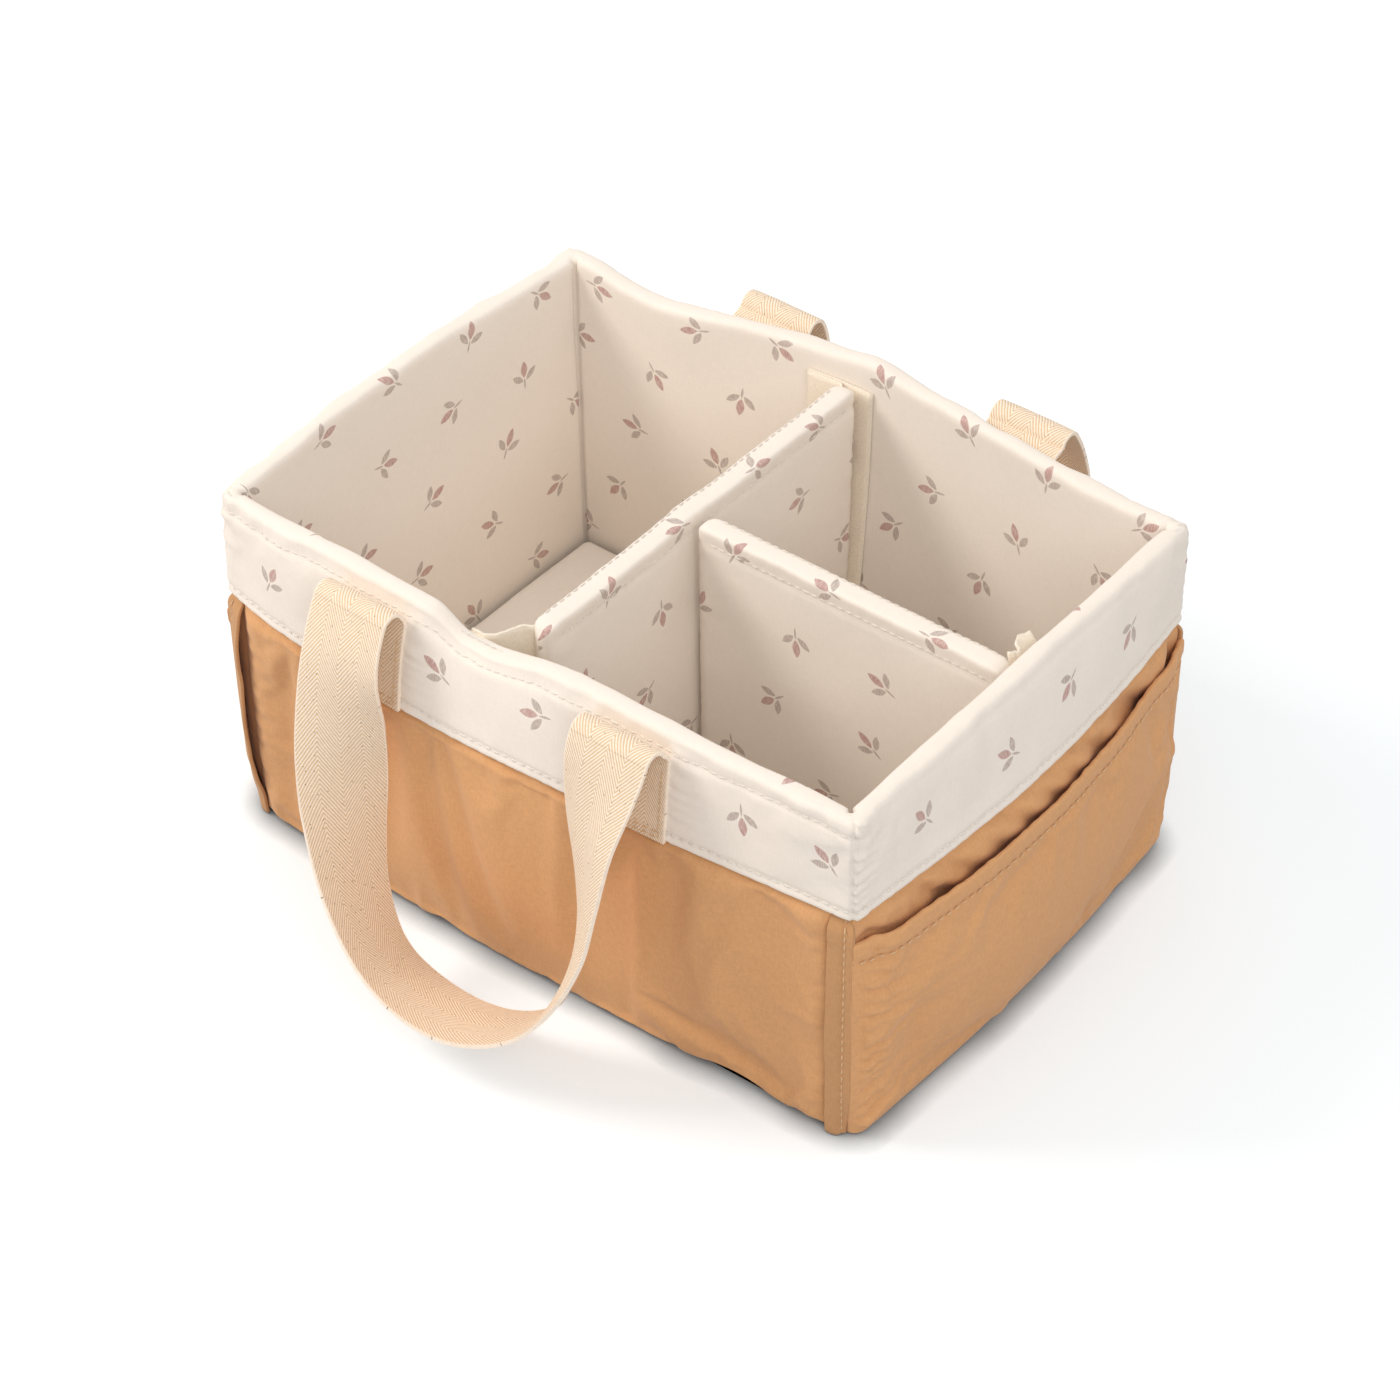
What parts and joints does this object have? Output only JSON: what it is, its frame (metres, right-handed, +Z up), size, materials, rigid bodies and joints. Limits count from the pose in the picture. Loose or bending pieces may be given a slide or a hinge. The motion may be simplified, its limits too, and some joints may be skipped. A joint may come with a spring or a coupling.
{
  "type": "diaper caddy",
  "caption": "Open padded cloth caddy with a printed lining turned out as a cuff, a T-shaped lift-out divider, end pockets and hanging webbing handles.",
  "frame": {"origin": "middle of the flat underside: the centre of the nominal rim rectangle, on the table", "axes": "+X along the long side, from left to right seen from the front; +Y from front to back; +Z up"},
  "size_m": [0.4016, 0.4103, 0.1835],
  "materials": {
    "tan_cloth": "matte plain-weave canvas",
    "ivory_cloth": "matte printed cotton",
    "padding": "matte foam",
    "board": "matte board",
    "webbing": "matte herringbone cotton webbing",
    "tape": "matte hook and loop tape"
  },
  "bodies": {
    "caddy": {"base_fabric": "tan_cloth", "base_board": "board", "base_lining": "ivory_cloth", "front_outer_panel": "tan_cloth", "front_wall_padding": "padding", "front_lining": "ivory_cloth", "front_cuff": "ivory_cloth", "right_outer_panel": "tan_cloth", "right_wall_padding": "padding", "right_lining": "ivory_cloth", "right_cuff": "ivory_cloth", "back_outer_panel": "tan_cloth", "back_wall_padding": "padding", "back_lining": "ivory_cloth", "back_cuff": "ivory_cloth", "left_outer_panel": "tan_cloth", "left_wall_padding": "padding", "left_lining": "ivory_cloth", "left_cuff": "ivory_cloth", "front_right_corner_binding": "tan_cloth", "back_right_corner_binding": "tan_cloth", "back_left_corner_binding": "tan_cloth", "front_left_corner_binding": "tan_cloth", "right_pocket": "tan_cloth", "left_pocket": "tan_cloth", "front_loop_tape": "tape", "back_loop_tape": "tape", "right_loop_tape": "tape", "front_handle_left_end": "webbing", "front_handle_right_end": "webbing", "back_handle_left_end": "webbing", "back_handle_right_end": "webbing"},
    "front_handle": {"front_handle": "webbing"},
    "back_handle": {"back_handle": "webbing"},
    "floor_pad": {"floor_pad_cover": "ivory_cloth", "floor_pad_board": "board"},
    "divider_insert": {"main_divider_cover": "ivory_cloth", "main_divider_padding": "padding", "cross_divider_seam_tape": "ivory_cloth"},
    "cross_divider": {"cross_divider_cover": "ivory_cloth", "cross_divider_padding": "padding"},
    "front_hook_tab": {"front_hook_tab": "tape"},
    "back_hook_tab": {"back_hook_tab": "tape"},
    "right_hook_tab": {"right_hook_tab": "tape"}
  },
  "joints": [
    {"name": "front_handle_swing", "type": "hinge", "parent": "caddy", "child": "front_handle", "pos_m": [-0.006, -0.1362, 0.176], "axis": [-1, 0, 0], "range_deg": [0, 160]},
    {"name": "back_handle_swing", "type": "hinge", "parent": "caddy", "child": "back_handle", "pos_m": [0.006, 0.1435, 0.176], "axis": [1, 0, 0], "range_deg": [0, 160]},
    {"name": "floor_pad_lift", "type": "slide", "parent": "caddy", "child": "floor_pad", "axis": [0, 0, 1], "range_m": [0, 0.185]},
    {"name": "divider_lift", "type": "slide", "parent": "floor_pad", "child": "divider_insert", "axis": [0, 0, 1], "range_m": [0, 0.17]},
    {"name": "cross_divider_fold", "type": "hinge", "parent": "divider_insert", "child": "cross_divider", "pos_m": [0.0024, 0.003, 0.1], "axis": [0, 0, 1], "range_deg": [0, 33]},
    {"name": "front_hook_tab_peel", "type": "hinge", "parent": "divider_insert", "child": "front_hook_tab", "pos_m": [-0.01697, -0.0976, 0.1], "axis": [0, 0, -1], "range_deg": [0, 80]},
    {"name": "back_hook_tab_peel", "type": "hinge", "parent": "divider_insert", "child": "back_hook_tab", "pos_m": [-0.0163, 0.118, 0.1], "axis": [0, 0.0709, 0.9975], "range_deg": [0, 80]},
    {"name": "right_hook_tab_peel", "type": "hinge", "parent": "cross_divider", "child": "right_hook_tab", "pos_m": [0.16255, 0.0093, 0.1], "axis": [0, 0, 1], "range_deg": [0, 80]}
  ]
}
